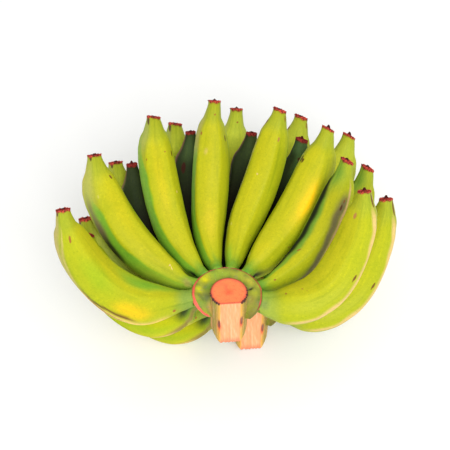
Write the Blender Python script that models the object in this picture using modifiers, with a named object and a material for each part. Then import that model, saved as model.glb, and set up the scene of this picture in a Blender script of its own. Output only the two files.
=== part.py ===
"""A bunch of green bananas, cut as two hands that lie nested, one behind the other.

Each hand is a crown, which is a short length of the cut stalk with the green collar around its top,
and thirteen fingers. The fingers leave the collar outwards in an upper and a lower row, and curve up.
The hand's own frame has +Z up the stalk, +Y towards the middle fingers and +X to the right, with its
origin at the middle of the collar's rim. The bunch stands on z = 0, under the middle of its box.
"""

import math
from collections import namedtuple

import bmesh
import bpy
from mathutils import Matrix, Vector

MM = 0.001
GAP = 0.9 * MM

# The collar's rim is a circle that leans forward, and its two ends draw in and droop at the front.
RIM_RADIUS = 33.6 * MM
RIM_SLOPE = math.tan(math.radians(10))
COLLAR_END = 134
DROOP_START = 105
DROOP = 9.5 * MM
DRAW_IN = 0.28
SHORTEN = 0.4
# Outline of the collar from the rim down to the stalk: radius and depth below the rim.
COLLAR_WALL = (
    (33.6 * MM, 0.0),
    (34.3 * MM, 2.0 * MM),
    (33.6 * MM, 16.0 * MM),
    (31.7 * MM, 24.7 * MM),
    (28.4 * MM, 32.0 * MM),
    (22.0 * MM, 38.0 * MM),
    (18.2 * MM, 42.0 * MM),
)
COLLAR_CORE = 10.0 * MM
COLLAR_SECTIONS = 19

# The cut stalk, with its front shaved flat.
STALK_RADIUS = 17.6 * MM
STALK_SHIFT = 2.0 * MM
STALK_TOP = 4.9 * MM
STALK_BOTTOM = -51.0 * MM
STALK_WAIST = 17.2 * MM
STALK_EDGE = 0.8 * MM
STALK_SIDES = 28
SHAVED_AT = -14.1 * MM

# A finger on level 0 leaves the collar just below the rim, and one on level 1 a row further down.
UPPER_DEPTH = 7.6 * MM
ROW_STEP = 17.1 * MM
CURVE_POWER = 0.82
TURN_SHARE = 0.5
SPINE_STEPS = 120

Finger = namedtuple("Finger", "name level base_heading tip_heading first_rise tip_rise length girth")
FINGERS = (
    Finger("upper_banana_1", 0.12, -97.5, -82.5, -10.5, 92.5, 178 * MM, 20.4 * MM),
    Finger("upper_banana_2", 0.0, -62.5, -58.5, -6, 91.0, 175 * MM, 20.0 * MM),
    Finger("upper_banana_3", 0.0, -38.5, -22.0, -5, 99.0, 183 * MM, 18.8 * MM),
    Finger("upper_banana_4", 0.0, -15.0, 7.5, -5, 87.0, 185 * MM, 18.8 * MM),
    Finger("upper_banana_5", 0.0, 8.5, 29.5, -5, 80.0, 182 * MM, 18.4 * MM),
    Finger("upper_banana_6", 0.0, 35.5, 40.0, -5, 75.0, 178 * MM, 19.4 * MM),
    Finger("upper_banana_7", 0.06, 65.0, 40.5, -6, 80.5, 164 * MM, 17.4 * MM),
    Finger("upper_banana_8", 0.09, 101.0, 49.0, -12.5, 99.0, 174 * MM, 19.3 * MM),
    Finger("lower_banana_1", 1.47, -91.0, -63.5, -39, 98.5, 170 * MM, 18.0 * MM),
    Finger("lower_banana_2", 1.0, -51.5, -25.5, -25, 77.0, 172 * MM, 16.7 * MM),
    Finger("lower_banana_3", 1.0, -28.5, 0.0, -24, 78.0, 189 * MM, 17.1 * MM),
    Finger("lower_banana_4", 1.0, -4.5, 20.5, -24, 76.0, 186 * MM, 17.1 * MM),
    Finger("lower_banana_5", 1.0, 20.5, 32.5, -24, 79.0, 188 * MM, 17.3 * MM),
)

# Half-widths and half-depths along a finger, as shares of its girth, at shares of its length.
Station = namedtuple("Station", "along width depth ridge")
STATIONS = (
    Station(0.0, 0.37, 0.43, 0.2),
    Station(0.06, 0.45, 0.55, 0.4),
    Station(0.12, 0.55, 0.74, 0.6),
    Station(0.18, 0.67, 0.88, 0.8),
    Station(0.26, 0.82, 0.97, 1.0),
    Station(0.36, 0.93, 1.00, 1.0),
    Station(0.50, 1.00, 1.00, 1.0),
    Station(0.62, 1.00, 1.00, 1.0),
    Station(0.72, 0.97, 0.97, 1.0),
    Station(0.80, 0.88, 0.88, 1.0),
    Station(0.86, 0.73, 0.73, 0.6),
    Station(0.90, 0.52, 0.52, 0.3),
    Station(0.98, 0.37, 0.37, 0.2),
    Station(0.984, 0.15, 0.15, 0.0),
    Station(1.0, 0.09, 0.09, 0.0),
)
SECTION_SIDES = 10
RIDGE_OUT = 0.035
FLAT_IN = 0.045

Hand = namedtuple("Hand", "name place size")
HANDS = (
    Hand("front", Vector((0.0, 0.0, 0.0)), 1.0),
    Hand("rear", Vector((22.4 * MM, 64.6 * MM, -76.2 * MM)), 1.116),
)
# How the whole bunch leans where it rests on a table.
LEAN_BACK = 12.8
LEAN_RIGHT = 2.0

UPPER_COLOUR = (0.42, 0.56, 0.04, 1.0)
LOWER_COLOUR = (0.22, 0.42, 0.05, 1.0)
CROWN_COLOUR = (0.62, 0.52, 0.22, 1.0)


def material(name, colour, roughness):
    made = bpy.data.materials.new(name)
    made.use_nodes = True
    shader = made.node_tree.nodes["Principled BSDF"]
    shader.inputs["Base Color"].default_value = colour
    shader.inputs["Roughness"].default_value = roughness
    shader.inputs["Metallic"].default_value = 0.0
    return made


def smoothstep(value):
    value = min(max(value, 0.0), 1.0)
    return value * value * (3 - 2 * value)


def mix(start, end, share):
    return start + (end - start) * share


def outwards(heading):
    """The level direction at this heading in degrees, counted from +Y towards +X."""
    return Vector((math.sin(math.radians(heading)), math.cos(math.radians(heading)), 0.0))


def loft(name, rings):
    """A closed mesh through rings of points, each with as many points as the others."""
    shape = bmesh.new()
    rows = [[shape.verts.new(point) for point in ring] for ring in rings]
    for row, following in zip(rows, rows[1:]):
        for here in range(len(row)):
            beside = (here + 1) % len(row)
            shape.faces.new((row[here], row[beside], following[beside], following[here]))
    shape.faces.new(list(reversed(rows[0])))
    shape.faces.new(rows[-1])
    bmesh.ops.recalc_face_normals(shape, faces=shape.faces)
    mesh = bpy.data.meshes.new(name)
    shape.to_mesh(mesh)
    shape.free()
    mesh.shade_smooth()
    mesh.set_sharp_from_angle(angle=math.radians(50))
    return mesh


# The collar and the stalk


def rim_height(heading):
    """How high the rim lies at this heading, before its ends droop."""
    return RIM_SLOPE * RIM_RADIUS * math.cos(math.radians(heading))


def wall_radius(depth):
    for (radius, upper), (following, lower) in zip(COLLAR_WALL, COLLAR_WALL[1:]):
        if depth <= lower:
            return mix(radius, following, (depth - upper) / (lower - upper))
    return COLLAR_WALL[-1][0]


def collar_section(heading):
    """The collar cut by a plane through the stalk: from the core over the rim and down to the core."""
    ending = smoothstep((abs(heading) - DROOP_START) / (COLLAR_END - DROOP_START))
    top = rim_height(heading) - DROOP * ending
    closer = 1 - DRAW_IN * ending
    shorter = 1 - SHORTEN * ending
    outline = [(COLLAR_CORE, 0.0)]
    outline += [(radius * closer, depth * shorter) for radius, depth in COLLAR_WALL]
    outline.append((COLLAR_CORE, outline[-1][1]))
    return [outwards(heading) * radius + Vector((0.0, 0.0, top - depth)) for radius, depth in outline]


def collar_mesh():
    headings = [
        mix(-COLLAR_END, COLLAR_END, step / (COLLAR_SECTIONS - 1)) for step in range(COLLAR_SECTIONS)
    ]
    return loft("collar", [collar_section(heading) for heading in headings])


def stalk_mesh():
    """The stalk as a profile for a Screw modifier, from its cut top down its outer side."""
    profile = (
        (0.0, STALK_TOP),
        (STALK_RADIUS - STALK_EDGE, STALK_TOP),
        (STALK_RADIUS, STALK_TOP - STALK_EDGE),
        (STALK_WAIST, STALK_BOTTOM + STALK_EDGE),
        (STALK_WAIST - STALK_EDGE, STALK_BOTTOM),
        (0.0, STALK_BOTTOM),
    )
    mesh = bpy.data.meshes.new("stalk")
    points = [(radius, 0.0, height) for radius, height in profile]
    mesh.from_pydata(points, [(step, step + 1) for step in range(len(points) - 1)], [])
    return mesh


def helper(name, mesh, hand, collection):
    """A shape that a Boolean modifier uses, hidden in renders."""
    made = bpy.data.objects.new(name, mesh)
    made.parent = hand
    made.hide_render = True
    made.display_type = "WIRE"
    collection.objects.link(made)
    return made


def boolean(target, operation, other):
    modifier = target.modifiers.new(operation.lower(), "BOOLEAN")
    modifier.operation = operation
    modifier.object = other
    modifier.solver = "EXACT"


def add_crown(hand, collection, cutters):
    """The stalk with its shaved front, joined to the collar around its top."""
    name = f"{hand.name.split('_')[0]}_crown"
    crown = bpy.data.objects.new(name, stalk_mesh())
    crown.location = (STALK_SHIFT, 0.0, 0.0)
    crown.parent = hand
    collection.objects.link(crown)
    turn = crown.modifiers.new("turn", "SCREW")
    turn.steps = STALK_SIDES
    turn.render_steps = STALK_SIDES
    turn.use_merge_vertices = True
    turn.merge_threshold = 0.00001

    bpy.ops.mesh.primitive_cube_add(size=1.0)
    knife = bpy.context.object
    knife_mesh = knife.data
    bpy.data.objects.remove(knife)
    shave = helper(f"{name}_shave", knife_mesh, hand, cutters)
    shave.scale = (80 * MM, 20 * MM, 120 * MM)
    shave.location = (STALK_SHIFT, SHAVED_AT - 10 * MM, STALK_BOTTOM / 2)
    boolean(crown, "DIFFERENCE", shave)
    boolean(crown, "UNION", helper(f"{name}_collar", collar_mesh(), hand, cutters))
    crown.data.materials.append(material(name, CROWN_COLOUR, 0.6))


# The fingers


def seat_radius(finger, depth):
    """The distance from the stalk's middle at which the finger's end face just clears the collar."""
    half = finger.girth * STATIONS[0].depth
    rise = math.radians(finger.first_rise)
    found = 0.0
    for share in (-1.0, -0.5, 0.0, 0.5, 1.0):
        below = depth + half * share * math.cos(rise)
        found = max(found, wall_radius(below) + GAP - half * share * math.sin(rise))
    return found


def spine(finger):
    """Points along the middle of a finger, each with the directions across it, level and inwards."""
    depth = UPPER_DEPTH + ROW_STEP * finger.level
    base_radius = seat_radius(finger, depth)
    start = outwards(finger.base_heading) * base_radius
    start.z = RIM_SLOPE * base_radius * math.cos(math.radians(finger.base_heading)) - depth

    def direction(along):
        turned = smoothstep(along / TURN_SHARE)
        heading = mix(finger.base_heading, finger.tip_heading, turned)
        rise = math.radians(mix(finger.first_rise, finger.tip_rise, along**CURVE_POWER))
        forward = outwards(heading) * math.cos(rise) + Vector((0.0, 0.0, math.sin(rise)))
        across = outwards(heading + 90)
        return forward, across, across.cross(forward)

    found = [start]
    for step in range(SPINE_STEPS):
        forward = direction((step + 0.5) / SPINE_STEPS)[0]
        found.append(found[-1] + forward * finger.length / SPINE_STEPS)
    return [(point, *direction(step / SPINE_STEPS)[1:]) for step, point in enumerate(found)]


def section(finger, station, middle, across, inwards):
    """A five-sided ring with soft ridges: a flat side faces inwards and a ridge runs along the back."""
    ring = []
    for step in range(SECTION_SIDES):
        angle = 2 * math.pi * step / SECTION_SIDES
        on_ridge = step % 2 == 1
        size = finger.girth * (1 + station.ridge * (RIDGE_OUT if on_ridge else -FLAT_IN))
        sideways = across * math.sin(angle) * station.width
        ring.append(middle + (sideways + inwards * math.cos(angle) * station.depth) * size)
    return ring


def finger_mesh(finger):
    """The finger's mesh around its own base point, and that point in the hand's frame."""
    line = spine(finger)
    base = line[0][0].copy()
    rings = []
    for station in STATIONS:
        middle, across, inwards = line[round(station.along * SPINE_STEPS)]
        rings.append(section(finger, station, middle - base, across, inwards))
    return loft(finger.name, rings), base


def add_finger(finger, hand, collection):
    mesh, base = finger_mesh(finger)
    name = f"{hand.name.split('_')[0]}_{finger.name}"
    made = bpy.data.objects.new(name, mesh)
    made.location = base
    made.parent = hand
    collection.objects.link(made)
    colour = UPPER_COLOUR if finger.level < 0.5 else LOWER_COLOUR
    mesh.materials.append(material(name, colour, 0.45))


# The whole bunch


def add_hand(plan, bunch, collection, cutters):
    hand = bpy.data.objects.new(f"{plan.name}_hand", None)
    hand.location = plan.place
    hand.scale = (plan.size,) * 3
    hand.parent = bunch
    collection.objects.link(hand)
    add_crown(hand, collection, cutters)
    for finger in FINGERS:
        add_finger(finger, hand, collection)


def stand_on_floor(bunch, collection):
    """Moves the bunch so that the middle of its box is over the origin and its lowest point on z = 0."""
    bpy.context.view_layer.update()
    graph = bpy.context.evaluated_depsgraph_get()
    points = []
    for made in collection.objects:
        if made.type == "MESH":
            shown = made.evaluated_get(graph)
            points += [shown.matrix_world @ vertex.co for vertex in shown.data.vertices]
    low = [min(point[axis] for point in points) for axis in range(3)]
    high = [max(point[axis] for point in points) for axis in range(3)]
    bunch.location = (-(low[0] + high[0]) / 2, -(low[1] + high[1]) / 2, -low[2])


def main():
    for old in list(bpy.data.objects):
        bpy.data.objects.remove(old)
    collection = bpy.data.collections.new("banana_bunch")
    cutters = bpy.data.collections.new("cutters")
    for made in (collection, cutters):
        bpy.context.scene.collection.children.link(made)
    bunch = bpy.data.objects.new("bunch", None)
    bunch.rotation_euler = Matrix.Rotation(math.radians(LEAN_RIGHT), 3, "Y").to_euler()
    bunch.rotation_euler.rotate(Matrix.Rotation(math.radians(-LEAN_BACK), 3, "X"))
    collection.objects.link(bunch)
    for plan in HANDS:
        add_hand(plan, bunch, collection, cutters)
    stand_on_floor(bunch, collection)


main()
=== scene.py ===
import math
from collections import namedtuple

import bpy
import numpy as np
from mathutils import Euler, Matrix, Vector


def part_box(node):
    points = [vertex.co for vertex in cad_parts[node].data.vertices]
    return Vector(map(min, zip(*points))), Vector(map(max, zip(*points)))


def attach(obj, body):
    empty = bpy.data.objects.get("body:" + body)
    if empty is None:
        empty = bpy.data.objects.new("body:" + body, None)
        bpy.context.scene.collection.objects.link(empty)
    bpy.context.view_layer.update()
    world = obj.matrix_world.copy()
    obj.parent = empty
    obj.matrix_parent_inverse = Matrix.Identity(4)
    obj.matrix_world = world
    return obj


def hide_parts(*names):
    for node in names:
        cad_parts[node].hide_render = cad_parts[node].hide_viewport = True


# The finger plan, the collar's wall and the stalk are those of part.py, in millimetres and degrees.
MM = 0.001
GAP = 0.9
RIM_RADIUS = 33.6
RIM_SLOPE = math.tan(math.radians(10))
WALL_RADII = (33.6, 34.3, 33.6, 31.7, 28.4, 22.0, 18.2)
WALL_DEPTHS = (0.0, 2.0, 16.0, 24.7, 32.0, 38.0, 42.0)
STALK_RADIUS = 17.7
STALK_SHIFT = 2.7
STALK_TOP = 3.5
STALK_BOTTOM = -49.6
SHAVED_AT = -14.5
STALK_DEEPER = 1.08
STALK_FORWARD = 1.2
STALK_TURN = 5
# How deep the upper row sits below the rim, how far apart the rows are, how a finger curves and turns.
UPPER_DEPTH = 7.6
ROW_STEP = 17.1
CURVE_POWER = 0.82
TURN_SHARE = 0.5
SPINE_STEPS = 120

Finger = namedtuple("Finger", "name level base_heading tip_heading first_rise tip_rise length girth")
FINGERS = (
    Finger("upper_banana_1", 0.12, -97.5, -82.5, -10.5, 92.5, 178, 20.4),
    Finger("upper_banana_2", 0.0, -62.5, -58.5, -6, 91.0, 175, 20.0),
    Finger("upper_banana_3", 0.0, -38.5, -22.0, -5, 99.0, 183, 18.8),
    Finger("upper_banana_4", 0.0, -15.0, 7.5, -5, 87.0, 185, 18.8),
    Finger("upper_banana_5", 0.0, 8.5, 29.5, -5, 80.0, 182, 18.4),
    Finger("upper_banana_6", 0.0, 35.5, 40.0, -5, 75.0, 178, 19.4),
    Finger("upper_banana_7", 0.06, 65.0, 40.5, -6, 80.5, 164, 17.4),
    Finger("upper_banana_8", 0.09, 101.0, 49.0, -12.5, 99.0, 174, 19.3),
    Finger("lower_banana_1", 1.47, -91.0, -63.5, -39, 98.5, 170, 18.0),
    Finger("lower_banana_2", 1.0, -51.5, -25.5, -25, 77.0, 172, 16.7),
    Finger("lower_banana_3", 1.0, -28.5, 0.0, -24, 78.0, 189, 17.1),
    Finger("lower_banana_4", 1.0, -4.5, 20.5, -24, 76.0, 186, 17.1),
    Finger("lower_banana_5", 1.0, 20.5, 32.5, -24, 79.0, 188, 17.3),
)
# Shares of the girth across and through a finger, and how strong its ridges are, along its length.
ALONG = (0.0, 0.06, 0.12, 0.18, 0.26, 0.36, 0.5, 0.62, 0.72, 0.8, 0.86, 0.9, 0.98)
WIDTHS = (0.37, 0.45, 0.55, 0.67, 0.82, 0.93, 1.0, 1.0, 0.97, 0.88, 0.73, 0.52, 0.37)
DEPTHS = (0.43, 0.55, 0.74, 0.88, 0.97, 1.0, 1.0, 1.0, 0.97, 0.88, 0.73, 0.52, 0.37)
RIDGES = (0.1, 0.3, 0.6, 0.8, 1.0, 1.0, 1.0, 1.0, 1.0, 1.0, 0.8, 0.55, 0.35)
# How far the ridges stand out and the flats between them lie in, as shares of the size.
RIDGE_OUT = 0.035
FLAT_IN = 0.045

Hand = namedtuple("Hand", "name place size")
HANDS = (Hand("front", (0.0, 0.0, 0.0), 1.0), Hand("rear", (22.4, 64.6, -76.2), 1.116))
# How far the bunch lies over from the hand plan's upright.
LEAN_BACK = 12.8
LEAN_RIGHT = 2.0
# The front hand's origin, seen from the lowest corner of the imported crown's box.
ORIGIN_IN_CROWN = (34.2395, 25.1204, 53.437)
# The cut edge of the collar: heading, radius, height. Its ends run down along the stalk.
RIM_EDGE = (
    (-122, 17.4, -22.5), (-118, 24.0, -15.5), (-112, 28.0, -9.0), (-104, 30.4, -3.8), (-92, 31.4, -0.6),
    (-70, 32.0, 1.0), (-37, 31.8, 2.7), (0, 31.8, 3.5), (37, 31.8, 2.7), (66, 32.9, 1.4), (80, 33.7, 0.6),
    (92, 33.7, -0.2), (101, 33.9, -2.6), (109, 33.6, -6.8), (115, 31.6, -12.0), (119.5, 28.9, -16.5),
    (122.5, 26.2, -20.5),
)
# Roots that sit a little away from the plan: x, y, z in mm, and how far along the finger that reaches.
ROOT_SHIFTS = {
    "upper_banana_1": (((0.0, 5.0, 3.0), 0.28),),
    "upper_banana_8": (((0.0, 4.0, 2.0), 0.5),),
    "lower_banana_1": (((-4.0, 5.0, 4.0), 0.28), ((0.0, 2.0, 9.0), 0.07)),
}


def linear(colour):
    """A colour given in the usual 0 to 255 steps, as linear light."""
    share = np.array(colour) / 255.0
    return np.where(share <= 0.04045, share / 12.92, ((share + 0.055) / 1.055) ** 2.4)


YELLOW_GREEN = (166, 180, 20)
YELLOW = (190, 188, 22)
LIME = (140, 182, 24)
GREEN = (122, 180, 42)
BASE_GREEN = (92, 154, 44)
TAN = (214, 184, 112)
# Painted shade for the crevices, notches and shaded faces between the fingers.
SHADE = (30, 22, 20)
NECK_GREEN = (148, 168, 40)
# The whole peel is this much warmer and paler than the colours above.
WARMTH = np.array([1.1, 1.0, 1.3])

# A soft-edged patch of colour: share of the length, angle, half-length as a share, half-width in degrees.
Patch = namedtuple("Patch", "along angle long wide colour strength")
# A soft-edged line of colour running along the finger through these places and angles.
Band = namedtuple("Band", "places angles wide colour strength")
# How a finger looks: the turn of its ridges, where its greener sides begin and how green they are, how
# deep in shade its inner face lies, the slope of the cut at its tip, how much of the cut shows, the nub's
# height in mm, its patches and its bands.
Look = namedtuple("Look", "turn left left_green right right_green shade slope shows nub patches bands")
LOOKS = {
    "upper_banana_1": Look(0, -100, 0.0, 24, 0.4, 0, 12, 0.16, 0.8, (
        Patch(0.27, 14, 0.22, 25, GREEN, 0.9), Patch(0.31, -80, 0.1, 20, (232, 192, 18), 0.7),
        Patch(0.6, -50, 0.14, 24, LIME, 0.5), Patch(0.8, -140, 0.22, 27, (182, 182, 88), 0.8),
        Patch(0.0, -60, 0.075, 150, (136, 156, 62), 0.6),
    ), (
        Band((0.08, 0.3, 0.5, 0.62), (-128, -130, -138, -138), 22, (232, 204, 96), 0.95),
        Band((0.24, 0.4, 0.5, 0.62), (-104, -104, -108, -110), 4.2, (92, 48, 26), 0.95),
        Band((0.56, 0.75, 0.95), (-112, -108, -104), 4, (214, 196, 110), 0.7),
    )),
    "upper_banana_2": Look(-24, -58, 1.0, 34, 0.6, 0, 8, 0.14, 1.0, (
        Patch(0.85, -100, 0.13, 36, (178, 184, 78), 0.9), Patch(0.68, -16, 0.17, 17, YELLOW, 0.8),
        Patch(0.03, -44, 0.03, 24, (186, 150, 90), 0.5), Patch(0.16, -92, 0.17, 44, (158, 186, 42), 0.85),
        Patch(0.05, 26, 0.06, 14, SHADE, 1.0),
    ), (
        # Painted shade on the left face, where finger 1 lies close below it; the second band is tan peel
        # darkened with painted shade.
        Band((0.34, 0.5, 0.6, 0.7), (-124, -114, -106, -104), 16, (62, 62, 36), 0.95),
        Band((0.5, 0.6, 0.7, 0.82), (-104, -100, -100, -100), 17, (132, 116, 68), 0.7),
    )),
    "upper_banana_3": Look(-12, -46, 0.95, 64, 0.4, 0, -4, 0.14, 0.4, (
        Patch(0.62, -14, 0.24, 16, (204, 194, 20), 0.6), Patch(0.9, -78, 0.09, 32, (166, 180, 84), 0.7),
        Patch(0.045, -92, 0.05, 18, SHADE, 1.0),
    ), ()),
    "upper_banana_4": Look(0, -40, 0.95, 86, 0.4, 0, -3, 0.12, 1.8, (
        Patch(0.81, -66, 0.12, 24, (182, 182, 86), 0.9), Patch(0.28, 4, 0.12, 24, (208, 196, 40), 0.6),
        Patch(0.73, -16, 0.02, 7, (220, 190, 110), 0.4),
    ), ()),
    "upper_banana_5": Look(0, -54, 0.5, 94, 0.7, 0, -14, 0.22, 0.4, (
        Patch(0.05, -40, 0.08, 30, GREEN, 0.7), Patch(0.5, -68, 0.4, 13, (176, 180, 98), 0.7),
    ), ()),
    "upper_banana_6": Look(10, -50, 0.5, 108, 0.6, 0, -18, 0.18, 3.0, (
        Patch(0.56, 44, 0.2, 25, (222, 204, 34), 0.7), Patch(0.57, 47, 0.11, 14, (255, 208, 20), 1.0),
        Patch(0.14, 20, 0.08, 30, (200, 194, 20), 0.5), Patch(0.03, 96, 0.07, 20, SHADE, 1.0),
    ), ()),
    "upper_banana_7": Look(0, 2, 0.7, 130, 0.0, 0, -22, 0.3, 2.2, (
        Patch(0.92, -20, 0.1, 60, (100, 156, 46), 0.7), Patch(0.5, -10, 0.4, 14, (94, 142, 44), 0.7),
        Patch(0.03, -60, 0.06, 26, SHADE, 0.9),
    ), (
        # Painted shadow that finger 6 casts along the left side, and painted shade beside finger 8 on the
        # right.
        Band((0.0, 0.3, 0.5, 0.8, 0.95), (-38, -32, -27, -28, -54), 14, (22, 30, 12), 1.0),
        Band((0.16, 0.26, 0.39, 0.53, 0.66, 0.85), (108, 98, 71, 58, 54, 60), 15, (120, 114, 68), 0.95),
        Band((0.2, 0.39, 0.53, 0.7, 0.92), (122, 95, 79, 76, 84), 7, (214, 180, 110), 0.95),
    )),
    "upper_banana_8": Look(-6, -46, 0.45, 150, 0.1, 0, -8, 0.14, 4.2, (
        Patch(0.03, 70, 0.07, 90, (156, 178, 58), 0.85), Patch(0.008, 56, 0.03, 24, (112, 136, 74), 0.55),
        Patch(0.3, 60, 0.2, 20, (176, 188, 50), 0.5),
    ), (
        Band((0.1, 0.3, 0.6, 0.95), (112, 106, 100, 92), 10, (216, 190, 108), 0.95),
    )),
    "lower_banana_1": Look(0, -140, 0.0, 20, 0.6, 0, -4, 0.12, 1.0, (
        Patch(0.3, -86, 0.2, 22, GREEN, 0.3), Patch(0.2, -122, 0.2, 30, (196, 192, 50), 0.8),
        # The dark patch at the root is painted shade beneath finger 1's root.
        Patch(0.005, -40, 0.085, 42, (38, 48, 26), 1.0),
    ), (
        Band((-0.08, 0.05, 0.12, 0.24), (-112, -116, -122, -128), 24, (132, 122, 54), 0.9),
        Band((0.1, 0.3, 0.6), (-122, -126, -130), 13, (218, 190, 96), 0.9),
    )),
    "lower_banana_2": Look(0, -96, 0.3, 60, 0.3, 1, 0, 0.28, 3.2, (
        Patch(0.95, -30, 0.08, 60, (50, 62, 34), 0.9),
    ), ()),
    "lower_banana_3": Look(0, -80, 0.3, 60, 0.3, 1, 0, 0.22, 1.4, (
        Patch(0.93, 10, 0.08, 60, (70, 92, 46), 0.9),
    ), ()),
    "lower_banana_4": Look(0, -68, 0.3, 60, 0.3, 1, 0, 0.24, 1.4, (
        Patch(0.94, 40, 0.1, 60, (66, 84, 42), 0.9),
    ), ()),
    "lower_banana_5": Look(0, -120, 0.3, 60, 0.3, 1, -12, 0.3, 3.4, (
        Patch(0.88, 42, 0.25, 34, (80, 112, 50), 0.95), Patch(0.97, 20, 0.05, 80, (72, 100, 52), 0.9),
    ), ()),
}

# Where a finger is fuller than its plain section: share of the length, angle, half-sizes, height in mm.
Swell = namedtuple("Swell", "along angle long wide height")
SWELLS = {
    "upper_banana_1": ((0.36, -140, 0.2, 48, 3.2),),
    "upper_banana_2": ((0.07, 24, 0.05, 36, -1.5),),
    "upper_banana_3": ((0.05, -92, 0.045, 40, -1.6),),
    "upper_banana_4": ((0.84, 94, 0.13, 55, -3.2),),
    "upper_banana_5": ((0.9, -66, 0.06, 45, 2.4),),
    "upper_banana_6": ((0.42, 100, 0.3, 50, 2.5), (0.05, 96, 0.055, 42, -3.0)),
    "upper_banana_7": ((0.05, -66, 0.05, 42, -1.8),),
    "upper_banana_8": ((0.1, 118, 0.12, 45, 2.2),),
    "lower_banana_2": ((0.85, -100, 0.1, 45, 2.2),),
    "lower_banana_3": ((0.84, -86, 0.1, 45, 2.6),),
    "lower_banana_4": ((0.84, -72, 0.11, 50, 4.0),),
}
# How single fingers bend away from the plan: x and z in mm, reached between these shares of the length.
BENDS = {
    "front_upper_banana_1": ((0.8, 2.4, 0.5, 1.0),),
    "front_upper_banana_2": ((0.9, 1.2, 0.7, 1.0),),
    "front_upper_banana_3": ((0.5, 0.0, 0.7, 1.0),),
    "front_upper_banana_4": ((-1.7, 0.0, 0.3, 0.65), (1.7, 0.0, 0.86, 1.0)),
    "front_upper_banana_5": ((2.0, -1.8, 0.75, 1.0),),
    "front_upper_banana_6": ((0.4, -1.8, 0.7, 1.0),),
    "front_upper_banana_7": ((0.0, -2.3, 0.6, 1.0),),
    "front_upper_banana_8": ((0.5, 3.0, 0.3, 1.0),),
    "front_lower_banana_2": ((1.6, -0.6, 0.75, 1.0),),
    "front_lower_banana_3": ((1.2, 0.0, 0.8, 1.0),),
    "front_lower_banana_4": ((-0.8, -0.6, 0.75, 1.0),),
    "front_lower_banana_5": ((0.0, -1.0, 0.75, 1.0),),
    "rear_upper_banana_1": ((0.6, 0.8, 0.7, 1.0),),
    "rear_upper_banana_2": ((0.6, 1.0, 0.7, 1.0),),
    "rear_upper_banana_3": ((1.1, 0.0, 0.7, 1.0),),
    "rear_upper_banana_4": ((1.8, -1.5, 0.7, 1.0),),
    "rear_upper_banana_5": ((3.2, -2.3, 0.6, 1.0),),
    "rear_upper_banana_6": ((1.0, -2.2, 0.7, 1.0),),
    "rear_upper_banana_7": ((-0.3, -2.6, 0.6, 1.0),),
    "rear_upper_banana_8": ((-2.6, 0.0, 0.0, 0.35), (2.4, 2.6, 0.75, 1.0)),
}

# Marks on the peel: share of the length, angle, half-length and half-width in mm, slant, kind.
# Kinds: 0 is dark maroon, 0.5 rusty brown, 1 pale tan.
Mark = namedtuple("Mark", "along angle long wide slant kind")
MARKS = {
    "upper_banana_1": (
        (0.43, -121, 24, 1.8, 2, 0.42), (0.863, -65, 4.0, 1.2, 8, 0.5), (0.085, -92, 1.6, 1.2, 0, 0.5),
        (0.99, -128, 3.0, 1.8, 20, 0.1), (0.6, 22, 1.0, 0.8, 0, 0.3),
    ),
    "upper_banana_2": (
        (0.871, 10, 2.2, 1.1, 0, 0.2), (0.15, -20, 3.0, 0.5, 30, 1.0), (0.17, -14, 2.0, 0.4, 80, 1.0),
        (0.992, -84, 2.4, 1.7, 0, 0.1),
    ),
    "upper_banana_3": (
        (0.77, 55, 3.8, 1.5, 0, 0.1), (0.777, -48, 2.0, 0.6, 8, 0.4), (0.813, 19, 1.4, 0.7, 0, 0.5),
        (0.54, 35, 1.9, 0.9, 0, 0.9), (0.985, -70, 3.6, 1.8, -12, 0.1),
    ),
    "upper_banana_4": (
        (0.797, 72, 3.8, 1.5, 0, 0.1), (0.832, -37, 2.4, 1.0, 0, 0.5), (0.943, 14, 1.2, 1.0, 20, 0.55),
    ),
    "upper_banana_5": (
        (0.61, 2, 1.5, 1.2, 0, 0.9), (0.232, 62, 1.1, 0.8, 0, 0.4), (0.79, -44, 3.2, 0.6, 0, 0.45),
        (0.925, -62, 3.4, 1.6, 10, 0.3), (0.9, -68, 2.4, 1.6, 0, 0.4), (0.848, 43, 3.0, 1.1, 0, 0.7),
        (0.962, 84, 3.6, 1.0, 0, 0.3),
    ),
    "upper_banana_6": ((0.785, -24, 3.2, 1.4, 0, 0.1), (0.79, -38, 4.6, 2.2, 6, 0.05),),
    "upper_banana_7": (
        (0.34, -3, 2.8, 0.8, 28, 0.45), (0.722, 55, 3.8, 1.3, 0, 0.15), (0.765, 60, 2.0, 0.9, 10, 0.3),
        (0.095, 40, 1.2, 0.8, 0, 0.4),
    ),
    "upper_banana_8": (
        (0.515, 82, 4.2, 1.5, 8, 0.2), (0.14, 14, 1.3, 0.8, 0, 0.4), (0.875, 8, 3.4, 1.6, 0, 0.7),
        (0.955, 106, 8.0, 1.4, 0, 0.2),
    ),
    "lower_banana_2": ((0.8, 15, 4.0, 1.6, 0, 0.0),),
    "lower_banana_3": ((0.81, -24, 6.5, 2.0, 0, 0.0),),
    "lower_banana_5": ((0.9, 30, 2.4, 1.4, 0, 0.1),),
}


def smoothstep(value):
    value = np.clip(value, 0.0, 1.0)
    return value * value * (3 - 2 * value)


def between(value, start, end):
    return smoothstep((value - start) / (end - start))


def hill(value, middle, reach):
    """A round rise to 1 at the middle, down to a third at that reach from it."""
    return np.exp(-(((value - middle) / reach) ** 2))


def plain(colour, like):
    """This colour, as linear light, for each number in an array."""
    return linear(colour) + np.zeros((*np.shape(like), 3))


def blend(base, other, share):
    """The base with this share of another colour, which is linear light or a plain colour."""
    other = linear(other) if isinstance(other, tuple) else other
    return base + (other - base) * np.asarray(share)[..., None]


def around(angle):
    """The same angle between -180 and 180."""
    return (angle + 180) % 360 - 180


def outwards(heading):
    heading = np.radians(np.asarray(heading, float))
    return np.stack([np.sin(heading), np.cos(heading), 0 * heading], axis=-1)


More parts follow.
